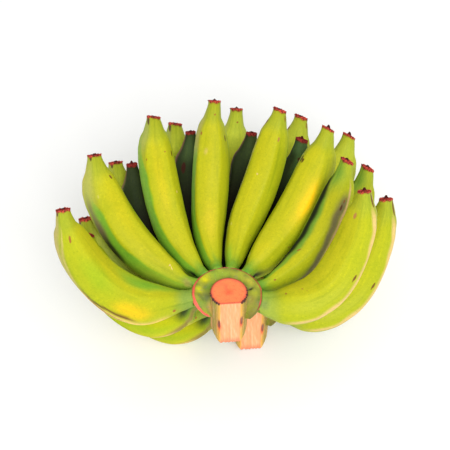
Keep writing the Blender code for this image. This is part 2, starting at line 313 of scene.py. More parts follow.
def waves(seed, first, second, count=7, reach=6):
    """A smooth, repeatable unevenness between about -1 and 1 that closes around the first angle."""
    draw = np.random.default_rng(seed)
    total = 0
    for _ in range(count):
        total = total + np.sin(
            draw.integers(1, reach) * first + draw.uniform(-reach, reach) * second + draw.uniform(0, 6.28)
        )
    return total / math.sqrt(count) / 1.4


def seed_of(finger):
    return sum(map(ord, finger.name))


# Where the fingers run


def seat_radius(finger, depth):
    half = finger.girth * DEPTHS[0]
    rise = math.radians(finger.first_rise)
    share = np.linspace(-1, 1, 5)
    wall = np.interp(depth + half * share * math.cos(rise), WALL_DEPTHS, WALL_RADII)
    return (wall + GAP - half * share * math.sin(rise)).max()


def directions(finger, along):
    """Unit directions at these shares of the length: forward, level across, and inwards."""
    along = np.clip(along, 0, None)
    turned = smoothstep(along / TURN_SHARE)
    heading = finger.base_heading + (finger.tip_heading - finger.base_heading) * turned
    rise = np.radians(finger.first_rise + (finger.tip_rise - finger.first_rise) * along**CURVE_POWER)
    level = outwards(heading)
    upwards = np.array([0.0, 0.0, 1.0])
    forward = level * np.cos(rise)[..., None] + upwards * np.sin(rise)[..., None]
    across = outwards(heading + 90)
    return forward, across, np.cross(across, forward)


def spine(finger, along):
    """Points on the middle line at these shares of the length; below 0 it runs straight on inwards."""
    depth = UPPER_DEPTH + ROW_STEP * finger.level
    radius = seat_radius(finger, depth)
    start = outwards(finger.base_heading) * radius
    start[2] = RIM_SLOPE * radius * math.cos(math.radians(finger.base_heading)) - depth
    middle = (np.arange(SPINE_STEPS) + 0.5) / SPINE_STEPS
    steps = directions(finger, middle)[0] * finger.length / SPINE_STEPS
    points = start + np.vstack([np.zeros(3), np.cumsum(steps, axis=0)])
    shares = np.linspace(0, 1, SPINE_STEPS + 1)
    found = np.stack([np.interp(along, shares, points[:, axis]) for axis in range(3)], axis=-1)
    before = np.minimum(along, 0.0)[..., None] * finger.length
    for shift, reach in root_shifts(finger):
        found = found + np.array(shift) * (1 - between(along, 0.0, reach))[..., None]
    after = np.maximum(along - 1, 0.0)[..., None] * finger.length
    ends = directions(finger, np.array(0.0))[0] * before + directions(finger, np.array(1.0))[0] * after
    return found + ends


def smooth_curve(places, values, reach):
    """The values at these places as a smooth curve."""
    fine = np.linspace(places[0], places[-1], 480)
    rough = np.pad(np.interp(fine, places, values), reach // 2, mode="reflect", reflect_type="odd")
    kernel = np.hanning(reach)
    return fine, np.convolve(rough, kernel / kernel.sum(), mode="valid")


RIM_HEADINGS, RIM_RADII, RIM_HEIGHTS = zip(*RIM_EDGE)
RIM_RADIUS_CURVE = smooth_curve(RIM_HEADINGS, RIM_RADII, 9)
RIM_HEIGHT_CURVE = smooth_curve(RIM_HEADINGS, RIM_HEIGHTS, 9)


def rim_radius(heading):
    return np.interp(heading, *RIM_RADIUS_CURVE)


def rim_height(heading):
    return np.interp(heading, *RIM_HEIGHT_CURVE)


def root_shifts(finger):
    """The roots follow the rim, which is a little smaller and flatter than the plan's."""
    if finger.name in ROOT_SHIFTS:
        return ROOT_SHIFTS[finger.name]
    heading = finger.base_heading
    shift = outwards(heading) * (rim_radius(heading) - RIM_RADIUS)
    shift[2] = rim_height(heading) - RIM_SLOPE * RIM_RADIUS * math.cos(math.radians(heading))
    return ((shift, 0.28),)


def smooth_profile(values):
    return smooth_curve((-0.1, *ALONG, 1.08), (values[0], *values, values[-1]), 17)


# How far the fingers are drawn in where they part just outside the rim, and those that aren't.
WAIST = 0.22
NO_WAIST = ("upper_banana_1", "upper_banana_8", "lower_banana_1")
# How much fuller than the plan the fingers are at these shares of their length.
FULLER_AT = (0, 0.1, 0.2, 0.3, 0.5, 0.7, 0.85, 0.9, 1.0)
FULLER = (1.05, 1.06, 1.0, 1.03, 1.02, 1.0, 1.02, 1.08, 0.98)
FULLER_OF = {
    "upper_banana_1": (1.0, 1.12, 1.16, 1.08, 0.98, 0.93, 0.88, 0.9, 0.96),
    "upper_banana_4": (1.1, 1.06, 1.02, 1.03, 1.02, 1.02, 1.05, 1.06, 0.98),
    "upper_banana_6": (1.12, 1.22, 1.14, 1.08, 1.03, 1.02, 1.03, 1.06, 0.98),
    "upper_banana_7": (1.0, 1.0, 0.98, 1.0, 1.0, 0.98, 0.98, 1.0, 0.98),
    "upper_banana_8": (1.3, 1.4, 1.27, 1.17, 1.05, 0.94, 0.96, 1.12, 0.92),
}
# The radius of the cut tips, and of those that differ.
TIP_RADIUS = 6.7
TIP_RADII = {"lower_banana_2": 5.7, "lower_banana_3": 5.4, "lower_banana_4": 5.7}
WIDTH_CURVE = smooth_profile(WIDTHS)
DEPTH_CURVE = smooth_profile(DEPTHS)
RIDGE_CURVE = smooth_profile(RIDGES)
FULLER_CURVE = smooth_curve(FULLER_AT, FULLER, 33)
FULLER_CURVES = {name: smooth_curve(FULLER_AT, values, 33) for name, values in FULLER_OF.items()}


def section(finger, along):
    """Half the finger's size across and through it, in mm. Its neck tapers evenly to the cut tip."""
    waist = WAIST * (finger.name not in NO_WAIST) * hill(along, 0.03, 0.065)
    fuller = FULLER_CURVES.get(finger.name, FULLER_CURVE)
    size = finger.girth * np.interp(along, *fuller)
    tip = TIP_RADII.get(finger.name, TIP_RADIUS)
    size = size * (1 + (tip / (finger.girth * WIDTHS[-1]) - 1) * between(along, 0.84, 1.0))
    width = size * np.interp(along, *WIDTH_CURVE) * (1 - waist)
    return width, size * np.interp(along, *DEPTH_CURVE)


def swelling(finger, along, angle):
    """How far the skin stands out beyond the plain section here, in mm."""
    total = 0 * along + 0 * angle
    for swell in map(Swell._make, SWELLS.get(finger.name, ())):
        share = hill(along, swell.along, swell.long) * hill(around(angle - swell.angle), 0, swell.wide)
        total = total + swell.height * share
    return total


# Meshes


def make_mesh(name, points, faces):
    mesh = bpy.data.meshes.new(name)
    mesh.vertices.add(points.size // 3)
    mesh.vertices.foreach_set("co", (points * MM).astype(np.float32).ravel())
    faces = np.asarray(faces, np.int32)
    mesh.loops.add(faces.size)
    mesh.loops.foreach_set("vertex_index", faces.ravel())
    mesh.polygons.add(len(faces))
    mesh.polygons.foreach_set("loop_start", np.arange(len(faces), dtype=np.int32) * faces.shape[1])
    mesh.polygons.foreach_set("use_smooth", np.ones(len(faces), bool))
    mesh.update(calc_edges=True)
    return mesh


def paint(mesh, tint, flow, **values):
    """Gives each point its colour, the place that its streaks are worked out from, and plain values."""
    colour = mesh.attributes.new("tint", "FLOAT_COLOR", "POINT")
    rows = np.column_stack([tint.reshape(-1, 3), np.ones(tint.size // 3)])
    colour.data.foreach_set("color", rows.astype(np.float32).ravel())
    place = mesh.attributes.new("flow", "FLOAT_VECTOR", "POINT")
    place.data.foreach_set("vector", (flow * MM).astype(np.float32).ravel())
    for label, data in values.items():
        layer = mesh.attributes.new(label, "FLOAT", "POINT")
        layer.data.foreach_set("value", np.asarray(data, np.float32).ravel())


def point_normals(mesh):
    found = np.zeros(len(mesh.vertices) * 3, np.float32)
    mesh.vertices.foreach_get("normal", found)
    return found.reshape(-1, 3).astype(float)


def grid_faces(rows, sides, closed=True):
    """Quads between that many rows of points, each row closed around into a tube or left open."""
    row, side = np.meshgrid(np.arange(rows - 1), np.arange(sides - (not closed)), indexing="ij")
    here = row * sides + side
    beside = row * sides + (side + 1) % sides
    return np.stack([here, beside, beside + sides, here + sides], axis=-1).reshape(-1, 4)


# The fingers

# Sides and rows of a finger's mesh. After its plain rows, which end at this share, they lie closer.
SIDES = 84
ROWS = 146
PLAIN_ROWS = 99
CLOSER_FROM = 0.8
TIP = 1.0
# Away from the viewer. Each cut at a tip is slanted so that as much of it shows as its look says.
AWAY = np.array([0.0, 0.8, -0.6])
# The cut at the tip, from its lip over the dried crust to the nub: height in mm and share of the size.
CUT_RISES = (0.4, 0.8, 1.0, 0.9, 0.6, 0.6, 0.8, 0.9, 0.9, 0.9)
CUT_SIZES = (1.02, 0.99, 0.9, 0.76, 0.6, 0.42, 0.32, 0.24, 0.15, 0.0)
NUB_SHARES = (0, 0, 0, 0, 0, 0, 0.15, 0.5, 0.85, 1)


def ridge_shape(angle, strength):
    """How far the skin stands out at this angle: ridges every 72 degrees, flats between them."""
    from_ridge = np.abs(angle % 72 - 36)
    peak = np.exp(-((from_ridge / 13.0) ** 1.6))
    return 1 + strength * (-FLAT_IN + (RIDGE_OUT + FLAT_IN) * peak)


def spot(patch, along, angle):
    """How much of each point the patch covers, from 0 to 1."""
    far = ((along - patch.along) / patch.long) ** 2 + ((angle - patch.angle) / patch.wide) ** 2
    return patch.strength * np.exp(-(far**1.5))


def peel_tint(finger, along, angle):
    """The smooth part of the peel's colour; streaks and specks come from the material."""
    look = LOOKS[finger.name]
    seed = seed_of(finger)
    turn = np.radians(angle)
    shifted = angle + 5 * waves(seed, turn, along * 3) + 3 * waves(seed + 1, turn, along * 9)
    tint = plain(YELLOW_GREEN, angle)
    face = hill(shifted, look.turn, 52) * between(along, 0.04, 0.2)
    tint = blend(tint, YELLOW, 0.65 * face)
    fading = 1 - 0.6 * between(along, 0.7, 0.92)
    rounded = 1 - 0.7 * between(np.abs(shifted), 95, 130)
    left_from = 40 * between(along, 0.68, 0.9) - look.left
    left = between(-shifted, left_from, left_from + 8)
    right = between(shifted, look.right, look.right + 22)
    tint = blend(tint, GREEN, look.left_green * left * fading * rounded)
    tint = blend(tint, GREEN, look.right_green * right * fading * rounded)
    mottled = 0.5 + 0.5 * waves(seed + 2, turn, along * 8, count=9, reach=9)
    base = 1 - between(along + 0.04 * (mottled - 0.5), 0.0, 0.1)
    tint = blend(tint, BASE_GREEN, base * (0.65 + 0.35 * mottled))
    tint = blend(tint, NECK_GREEN, 0.6 * between(along, 0.86, 0.94))
    for patch in look.patches:
        tint = blend(tint, patch.colour, spot(patch, along, shifted))
    tint = blend(tint, TAN, 0.3 * between(np.abs(angle), 110, 135) * between(along, 0.1, 0.3))
    # The lower row's inner faces get painted shade.
    if look.shade:
        tint = blend(tint, painted_inner_shade(along, shifted, look), look.shade)
    for band in look.bands:
        far = around(shifted - np.interp(along, band.places, band.angles)) / band.wide
        ends = between(along, band.places[0], band.places[0] + 0.08)
        ends = ends * (1 - between(along, band.places[-1] - 0.1, band.places[-1]))
        tint = blend(tint, band.colour, band.strength * ends * np.exp(-np.abs(far) ** 3.6))
    return tint * WARMTH


def painted_inner_shade(along, angle, look):
    """Painted shade on the lower row's inner faces, deep between the upper fingers: dark green, nearly
    black below, with a painted lit tan edge on the left.
    """
    side = between(np.abs(angle + 6), 60, 96)
    low = blend(plain((24, 22, 13), angle), (54, 74, 34), side)
    high = blend(plain((42, 54, 26), angle), (84, 112, 46), side)
    dark = blend(low, high, between(along, 0.55, 0.85))
    for patch in look.patches:
        dark = blend(dark, patch.colour, spot(patch, along, angle))
    # The tan edge on the left is a painted lit edge.
    edge = hill(angle, look.left, 11) * (look.left > -110)
    dark = blend(dark, (150, 106, 72), 0.7 * edge * between(along, 0.6, 0.75))
    outside = blend(plain(GREEN, angle), YELLOW_GREEN, between(np.abs(angle), 112, 150))
    return blend(dark, outside, between(np.abs(angle), 96, 128))


def mark_fields(finger, along, angle):
    """How deep each point lies in a mark, from 0 outside to 1 at its middle, and the mark's kind."""
    depth = np.zeros(along.shape)
    kind = np.zeros(along.shape)
    seed = seed_of(finger)
    uneven = 0.18 * waves(seed + 4, np.radians(angle), along * 60, count=9, reach=30)
    half_width = finger.girth * np.interp(along, *WIDTH_CURVE)
    for mark in map(Mark._make, MARKS.get(finger.name, ())):
        length = (along - mark.along) * finger.length
        side = np.radians(around(angle - mark.angle)) * half_width
        slant = math.radians(mark.slant)
        first = (length * math.cos(slant) + side * math.sin(slant)) / mark.long
        second = (side * math.cos(slant) - length * math.sin(slant)) / mark.wide
        inside = 1 - (np.hypot(first, second) + uneven) / 2
        kind = np.where(inside > depth, mark.kind, kind)
        depth = np.maximum(depth, inside)
    return depth, kind


def crowding(points, normals, own):
    """How much of each point's outlook the hand's other fingers block: over 1 deep between them."""
    blocked = np.zeros(len(points))
    shares = np.linspace(0.02, 0.97, 32)
    for number, other in enumerate(FINGERS):
        middle = spine(other, shares)
        size = section(other, shares)[0]
        near = np.flatnonzero(own != number)
        apart = middle - points[near, None]
        far = np.linalg.norm(apart, axis=-1)
        nearest = (far - size).argmin(axis=1)
        pick = np.arange(len(near))
        distance = far[pick, nearest]
        facing = (normals[near] * apart[pick, nearest]).sum(-1) / distance
        share = np.minimum(size[nearest] / distance, 1) ** 3
        blocked[near] += np.clip(facing + 0.1, 0, 1) * share
    return blocked


def shaded(tint, blocked):
    """Painted shade: crevices between the fingers are darkened nearly to black, as deep shade falls there.
    """
    return blend(tint, SHADE, 0.92 * between(blocked, 0.95, 1.3))


def finger_grid(finger):
    """The finger's points in the hand's frame, their shares of the length, their angles and the nub."""
    seed = seed_of(finger)
    look = LOOKS[finger.name]
    body = np.linspace(0, CLOSER_FROM, PLAIN_ROWS + 1)[:-1]
    along = np.concatenate([body, np.linspace(CLOSER_FROM, TIP, ROWS - PLAIN_ROWS)])
    rises = (np.array(CUT_RISES) + look.nub * np.array(NUB_SHARES)) / finger.length
    shares = np.concatenate([along, TIP + rises])
    shrink = np.concatenate([np.ones(len(along)), CUT_SIZES])
    nub = np.concatenate([0 * along, NUB_SHARES])
    share_grid, angle = np.meshgrid(shares, np.linspace(0, 360, SIDES, endpoint=False), indexing="ij")
    turn = np.radians(angle)

    inside = np.clip(shares, 0, TIP)
    width, depth = (size[:, None, None] * shrink[:, None, None] for size in section(finger, inside))
    size = ridge_shape(angle - look.turn, np.interp(inside, *RIDGE_CURVE)[:, None])
    size = size * (1 + 0.008 * waves(seed + 5, turn, share_grid * 4, count=9, reach=5))
    on_cut = (np.arange(len(shares)) >= len(along))[:, None] * 1.0
    ragged = waves(seed + 8, turn, 0 * turn, count=9, reach=16)
    size = size * (1 + 0.1 * ragged * on_cut * (shrink < 1)[:, None])

    forward, across, inwards = directions(finger, shares)
    radial = across[:, None] * np.sin(turn)[..., None] * width
    radial = radial + inwards[:, None] * np.cos(turn)[..., None] * depth
    fuller = 1 + swelling(finger, share_grid, angle) / np.linalg.norm(radial + 1e-6, axis=-1)
    offset = radial * (size * fuller)[..., None]
    points = spine(finger, shares)[:, None] + offset
    shows = -(directions(finger, np.array(TIP))[0] @ AWAY)
    lean = (shows - look.shows) / (1 - shows**2)
    slant = offset[..., 0] * math.tan(math.radians(look.slope)) - (offset @ AWAY) * lean
    slant = slant * between(shares, 0.955, TIP)[:, None]
    rough = waves(seed + 11, turn, 30 * share_grid, count=9, reach=18) * on_cut
    points = points + forward[:, None] * (slant + 0.6 * rough)[..., None]
    return points, share_grid, around(angle), nub[:, None] + 0 * angle


def flow_on(finger, along, angle):
    """A place on the peel that streaks can run along: around the finger in X and Y, its length in Z."""
    turn = np.radians(angle)
    apart = seed_of(finger) % 97 * 13.0
    girth = finger.girth
    return np.stack([np.cos(turn) * girth + apart, np.sin(turn) * girth, along * finger.length], axis=-1)


def paint_peel(mesh, tint, flow, marks, cut, nub):
    paint(mesh, tint, flow, mark=marks[0], kind=marks[1], cut=cut, nub=nub)


def finger_mesh(number, finger):
    points, along, angle, nub = finger_grid(finger)
    rows, sides = along.shape
    mesh = make_mesh(finger.name, points, grid_faces(rows, sides))
    blocked = crowding(points.reshape(-1, 3), point_normals(mesh), np.full(rows * sides, number))
    blocked = blocked.reshape(rows, sides) * (1 - between(along, 0.9, 0.97))
    tint = shaded(peel_tint(finger, along, angle), blocked)
    lower_edge = TIP - 0.006 + 0.0045 * waves(seed_of(finger) + 3, np.radians(angle), 0 * along, reach=9)
    cut = between(along, lower_edge - 0.004, lower_edge + 0.004)
    paint_peel(mesh, tint, flow_on(finger, along, angle), mark_fields(finger, along, angle), cut, nub)
    return mesh, along.ravel(), angle.ravel()


# Painted light: pale patches that make rear fingers paler than their like in the other hand, where the
# front hand shades them.
PAINTED_LIGHT = {
    "rear_upper_banana_1": Patch(0.76, 5, 0.22, 60, (226, 240, 110), 1.0),
    "rear_upper_banana_2": Patch(0.9, 0, 0.14, 80, (200, 208, 70), 0.6),
    "rear_upper_banana_3": Patch(0.88, 10, 0.14, 80, (204, 214, 70), 0.7),
    "rear_upper_banana_4": Patch(0.86, 20, 0.16, 90, (208, 220, 70), 0.8),
    "rear_upper_banana_5": Patch(0.86, 20, 0.14, 90, (200, 210, 66), 0.7),
    "rear_upper_banana_6": Patch(0.86, 30, 0.14, 90, (200, 210, 66), 0.5),
}


def single(mesh, along, angle, bends, patch):
    """A copy of the finger with its own bends and painted light, which set it apart from its like in the
    other hand.
    """
    mesh = mesh.copy()
    points = np.zeros(len(along) * 3)
    mesh.vertices.foreach_get("co", points)
    points = points.reshape(-1, 3)
    for side, rise, start, end in bends:
        points += np.array((side, 0.0, rise)) * MM * between(along, start, end)[:, None]
    mesh.vertices.foreach_set("co", points.ravel())
    # Any patch here is painted light.
    if patch:
        tint = np.zeros(len(along) * 4, np.float32)
        colours = mesh.attributes["tint"].data
        colours.foreach_get("color", tint)
        tint = tint.reshape(-1, 4)
        tint[:, :3] = blend(tint[:, :3], patch.colour, spot(patch, along, angle))
        colours.foreach_set("color", tint.ravel())
    return mesh


# The grown-together skin around the collar

# The space it is worked out in and its fineness in mm, and how softly its parts run into one another.
SKIN_LOWEST = (-58.0, -34.0, -62.0)
SKIN_HIGHEST = (58.0, 58.0, 14.0)
SKIN_STEP = 1.1
SKIN_SOFTNESS = 0.9
# How far out from the axis it may lie, and how far behind and ahead of its seat each root joins in.
SKIN_REACH = 60
ROOT_BEHIND = 8
ROOT_AHEAD = 21


def rim_half_width(heading):
    """The rim is broad on its left, thin on its far side, with a thicker spot on its right."""
    left = between(-heading, 38, 92) * (1 - 0.45 * between(-heading, 106, 122))
    return 0.45 + 1.25 * left + 0.3 * between(heading, 60, 90) + 0.45 * hill(heading, 106, 5)


def polar(points):
    """The headings and the distances of points from the hand's upright axis."""
    x, y = points[..., 0], points[..., 1]
    return np.degrees(np.arctan2(x, y)), np.hypot(x, y)


def collar_field(points):
    """Roughly how far each point is outside the collar, in mm. Inside the rim its top lies lower."""
    heading, radius = polar(points)
    edge = rim_radius(heading) + 0.6 * rim_half_width(heading)
    depth = rim_height(heading) - points[..., 2]
    front = np.clip(-np.cos(np.radians(np.abs(heading) + 28)), 0, 1)
    wall = edge * np.interp(depth, WALL_DEPTHS, WALL_RADII) / WALL_RADII[0]
    wall = np.minimum(wall, edge - depth.clip(0) * (1.2 * front))
    top = 0.5 + 8 * (1 - between(radius, edge - 3.0, edge - 1.0))
    past = np.maximum(RIM_HEADINGS[0] - heading, heading - RIM_HEADINGS[-1])
    past = radius * np.sin(np.radians(past.clip(-90, 90)))
    return np.maximum.reduce([radius - wall, top - depth, depth - WALL_DEPTHS[-1] + 20 * front, past])


def place_on(finger, points):
    """Where points near a finger's root are: mm ahead of its seat, share, angle, mm outside its skin."""
    along = np.array(0.0)
    ahead = (points - spine(finger, along)) @ directions(finger, along)[0]
    for _ in range(3):
        along = np.clip(ahead / finger.length, -0.05, 0.3)
        forward, across, inwards = directions(finger, along)
        rest = points - spine(finger, along)
        ahead = ahead + (rest * forward).sum(-1)
    sideways, inward = (rest * across).sum(-1), (rest * inwards).sum(-1)
    angle = np.degrees(np.arctan2(sideways, inward))
    size = ridge_shape(angle - LOOKS[finger.name].turn, np.interp(along, *RIDGE_CURVE))
    width, depth = section(finger, along)
    outside = (np.hypot(sideways / width, inward / depth) / size - 1) * np.minimum(width, depth)
    outside = np.maximum(outside - swelling(finger, along, angle), -ahead - ROOT_BEHIND - 1)
    return ahead, along, angle, outside


def finger_field(finger, points):
    """About how far each point is outside the finger's root, in mm: proud at the seat, sunk further out."""
    ahead, _, _, outside = place_on(finger, points)
    heading, radius = polar(points)
    inside = rim_radius(heading) + 0.8 * rim_half_width(heading) - radius
    inside = np.where(rim_height(heading) - points[..., 2] < 9, inside, -50)
    sink = -0.35 + 1.1 * between(ahead, 4, 15)
    return np.maximum.reduce([outside + sink, inside, -ahead - ROOT_BEHIND, ahead - ROOT_AHEAD])


def surface_nets(field, origin, step):
    """A smooth mesh of the field's zero surface: one point in each cell it crosses."""
    inside = field < 0
    cells = np.array(field.shape) - 1
    total = np.zeros((*cells, 3))
    count = np.zeros(cells)
    crossings = []
    for axis in range(3):
        sides = np.delete(np.arange(3), axis)
        near = tuple(slice(None, -1) if other == axis else slice(None) for other in range(3))
        far = tuple(slice(1, None) if other == axis else slice(None) for other in range(3))
        where = np.argwhere(inside[near] != inside[far])
        where = where[((where[:, sides] > 0) & (where[:, sides] < cells[sides])).all(axis=1)]
        low, high = field[near][tuple(where.T)], field[far][tuple(where.T)]
        spots = where.astype(float)
        spots[:, axis] += low / (low - high)
        corners = []
        for back in ((1, 1), (0, 1), (0, 0), (1, 0)):
            cell = where.copy()
            cell[:, sides] -= back
            corners.append(tuple(cell.T))
            np.add.at(total, corners[-1], spots)
            np.add.at(count, corners[-1], 1)
        crossings.append((corners, (low < 0) == (axis != 1)))
    used = count > 0
    index = np.full(cells, -1)
    index[used] = np.arange(used.sum())
    faces = []
    for corners, turned in crossings:
        quad = np.stack([index[corner] for corner in corners], axis=-1)
        quad[~turned] = quad[~turned][:, ::-1]
        faces.append(quad)
    return total[used] / count[used][:, None] * step + origin, np.vstack(faces)


def skin_mesh():
    """The collar's outside and the fingers' roots, grown into one another."""
    axes = [np.arange(low, high, SKIN_STEP) for low, high in zip(SKIN_LOWEST, SKIN_HIGHEST)]
    grid = np.stack(np.meshgrid(*axes, indexing="ij"), axis=-1)
    fields = [collar_field(grid), *(finger_field(finger, grid) for finger in FINGERS)]
    total = sum(np.exp(-field.clip(-60, 60) / SKIN_SOFTNESS) for field in fields)
    field = np.where(polar(grid)[1] < SKIN_REACH, -SKIN_SOFTNESS * np.log(total), 5.0)
    points, faces = surface_nets(field, SKIN_LOWEST, SKIN_STEP)
    mesh = make_mesh("collar_skin", points, faces)

    placed = [place_on(finger, points) for finger in FINGERS]
    nearness = np.stack([place[3] for place in placed])
    own = nearness.argmin(axis=0)
    ordered = np.sort(nearness, axis=0)
    apart = ordered[1] - ordered[0]
    heading, radius = polar(points)
    drift = waves(3, np.radians(heading), points[:, 2] * 0.05, count=9, reach=12)
    tint = np.zeros(points.shape)
    flow = np.zeros(points.shape)
    mark, kind = np.zeros(len(points)), np.zeros(len(points))
    for number, finger in enumerate(FINGERS):
        here = own == number
        _, along, angle, _ = placed[number]
        tint[here] = peel_tint(finger, along[here], angle[here])
        flow[here] = flow_on(finger, along[here], angle[here])
        mark[here], kind[here] = mark_fields(finger, along[here], angle[here])
    collar = blend(plain((150, 150, 66), drift), (176, 140, 84), 0.5 + 0.5 * drift.clip(-1, 1))
    tint = blend(tint, collar, 0.85 * between(ordered[0], 1.0, 4.0))
    blocked = crowding(points, point_normals(mesh), own)
    deep = rim_height(heading) - points[:, 2]
    # Painted shade: where the roots part below the rim, the notches between them are darkened as deep
    # shade.
    notch_shade = (1 - between(apart, 0.5, 3.5)) * between(deep, 2.5, 8.0)
    tint = shaded(tint, blocked + 1.15 * notch_shade)
    web = (1 - between(apart, 0.4, 2.6)) * (1 - between(deep, 1.5, 4.5))
    tint = blend(tint, (206, 150, 96), 0.7 * web * between(radius, 33, 35))
    zero = np.zeros(len(points))
    paint_peel(mesh, tint, flow, (mark, kind), zero, zero)
    return mesh


# The rim, the hollow inside it and the cut stalk

# Points along and around the rim, and along the hollow and across it.
RIM_STEPS = 320
RIM_SIDES = 20
HOLLOW_STEPS = 260
HOLLOW_ROWS = 48


def rim_line(heading):
    """The middle of the rim at this heading."""
    found = outwards(heading) * rim_radius(heading)[..., None]
    found[..., 2] = rim_height(heading)
    return found


def rim_mesh():
    """The cut edge of the collar: broad and pink on the left, thin and brown elsewhere."""
    fine = np.linspace(0, 1, RIM_STEPS)
    fine = 0.3 + 0.4 * fine - 0.3 * np.cos(math.pi * fine)
    heading = RIM_HEADINGS[0] + (RIM_HEADINGS[-1] - RIM_HEADINGS[0]) * fine
    turn = np.linspace(0, 2 * math.pi, RIM_SIDES, endpoint=False)
    left = between(-heading, 38, 92)
    right = between(heading, 55, 92)
    drift = waves(21, np.radians(heading), 0 * heading, count=9, reach=20)
    half_width = rim_half_width(heading) * (1 + 0.12 * drift)
    half_height = 0.6 + 0.4 * left
    lean = np.radians(-10 - 30 * left)
    level = outwards(heading)
    upwards = np.array([0, 0, 1.0])
    side = level * np.cos(lean)[:, None] + upwards * np.sin(lean)[:, None]
    top = upwards * np.cos(lean)[:, None] - level * np.sin(lean)[:, None]
    to_end = np.minimum(heading - RIM_HEADINGS[0], RIM_HEADINGS[-1] - heading)
    closing = np.sqrt(np.clip(to_end / 2, 0.0004, 1))
    points = (
        rim_line(heading)[:, None]
        + side[:, None] * (half_width * closing)[:, None, None] * np.cos(turn)[None, :, None]
        + top[:, None] * (half_height * closing)[:, None, None] * np.sin(turn)[None, :, None]
    )
    uneven = waves(31, turn[None, :], np.radians(heading)[:, None] * 6, count=9, reach=9)
    points = points + level[:, None] * (0.12 * uneven)[..., None]
    pink = left * (1 - 0.3 * between(-heading, 114, 121)) + 0.75 * right * (1 - between(heading, 104, 110))
    tint = blend(plain((150, 78, 50), heading), (124, 124, 58), between(heading, 110, 115))
    tint = blend(tint, (240, 104, 84), pink.clip(0, 1))
    tint = np.repeat(tint[:, None], len(turn), axis=1)
    outer = between(np.cos(turn), 0.55, 0.95)[None, :] * left[:, None]
    tint = blend(tint, (226, 150, 104), 0.7 * outer)
    mesh = make_mesh("rim", points, grid_faces(len(heading), len(turn)))
    paint(mesh, tint, points)
    return mesh


# Patches in the hollow: heading, share of the way from the stalk to the rim, their half-sizes, colour.
HOLLOW_PATCHES = (
    (-25, 0.66, 14, 0.3, (150, 184, 50), 0.7),
    (-4, 0.6, 14, 0.2, (158, 184, 52), 0.7),
    (-49, 0.76, 9, 0.22, (214, 208, 16), 1.0),
    (-77, 0.74, 7, 0.22, (204, 204, 26), 1.0),
    # Painted shade: the darker patch beside the stalk on the left.
    (-93, 0.3, 13, 0.26, (102, 112, 62), 0.9),
    (-60, 0.3, 16, 0.2, (104, 150, 46), 0.7),
    (-108, 0.66, 9, 0.3, (116, 152, 48), 0.8),
    (-114, 0.15, 7, 0.3, (196, 150, 84), 0.8),
    (4, 0.2, 22, 0.1, (190, 178, 120), 0.6),
    (27, 0.42, 12, 0.3, (172, 184, 50), 0.6),
    (53, 0.7, 12, 0.2, (200, 190, 64), 0.9),
    (60, 0.25, 14, 0.2, (108, 130, 50), 0.7),
    (85, 0.6, 12, 0.25, (182, 188, 54), 0.8),
    (100, 0.35, 9, 0.3, (150, 134, 70), 0.7),
    (110, 0.7, 6, 0.3, (150, 152, 60), 0.8),
    (118, 0.8, 5, 0.3, (140, 128, 66), 0.8),
)


def hollow_mesh():
    """The mottled skin between the rim and the stalk, dished towards the stalk."""
    heading = np.linspace(RIM_HEADINGS[0], RIM_HEADINGS[-1], HOLLOW_STEPS)
    angle, across = np.meshgrid(heading, np.linspace(0, 1, HOLLOW_ROWS), indexing="ij")
    turn = np.radians(angle)
    rim = rim_line(heading)
    core = outwards(heading) * (STALK_RADIUS - 2.5) + (STALK_SHIFT, 0, 0)
    core[:, 2] = rim[:, 2] - 1.0
    points = core[:, None] + (rim - core)[:, None] * across[..., None]
    lumps = waves(41, turn, across * 0.9, count=14, reach=16)
    crease = hill(angle, 71, 3) * hill(across, 0.45, 0.16)
    bow = np.sin(across * math.pi)
    points[..., 2] += 0.35 * lumps * bow - 3.2 * bow**0.8 * (1 - across) - 1.2 * crease
    smudge = waves(43, turn, across * 0.9, count=16, reach=18)
    tint = blend(plain((150, 152, 48), smudge), (106, 122, 48), 0.8 * between(smudge, -0.1, 0.9))
    tint = blend(tint, (176, 182, 56), 0.5 * between(-smudge, 0.0, 0.9))
    for middle, out, wide, deep, colour, strength in HOLLOW_PATCHES:
        far = ((angle + 2 * smudge - middle) / wide) ** 2 + ((across + 0.05 * smudge - out) / deep) ** 2
        tint = blend(tint, colour, strength * np.exp(-far))
    # Painted shade darkens the crease on the right.
    tint = blend(tint, (50, 54, 30), np.clip(1.2 * crease, 0, 0.95))
    tint = blend(tint, (128, 100, 56), 0.5 * between(across, 0.95, 1.0))
    mesh = make_mesh("hollow", points, grid_faces(*angle.shape, closed=False)[:, [0, 3, 2, 1]])
    paint(mesh, tint, points)
    return mesh


STALK_SIDES = 180
STALK_ROWS = 80
# Half the width of the shaved face, and how high up its sides are trimmed in towards it.
FLAT_EDGE = math.sqrt(STALK_RADIUS**2 - SHAVED_AT**2)
TRIMMED = 11.0
# The cut face and the underside: shares of the outline from its edge to its middle, and the face's height.
FACE_SHARES = (0.985, 0.96, 0.9, 0.8, 0.66, 0.5, 0.34, 0.18, 0.0)
FACE_RISES = (0.42, 0.5, 0.42, 0.25, 0.15, 0.12, 0.12, 0.12, 0.12)
UNDER_SHARES = (0.0, 0.3, 0.6, 0.85, 0.97)
# Dark stains on the flat's edges: which side, and the height of the middle in mm.
STAINS = ((-1, -24.0), (1, -21.0))


def stalk_outline():
    """The stalk's section: a circle with its front cut flat. Gives the points and which are on the flat."""
    corner = 180 - math.degrees(math.acos(-SHAVED_AT / STALK_RADIUS))
    heading = np.linspace(-corner, corner, int(STALK_SIDES * 0.72))
    arc = outwards(heading)[:, :2] * STALK_RADIUS
    flat = np.linspace(FLAT_EDGE, -FLAT_EDGE, STALK_SIDES - len(heading) + 2)[1:-1]
    outline = np.vstack([arc, np.stack([flat, 0 * flat + SHAVED_AT], axis=-1)])
    outline[:, 1] *= STALK_DEEPER
    return outline, np.arange(STALK_SIDES) >= len(heading)


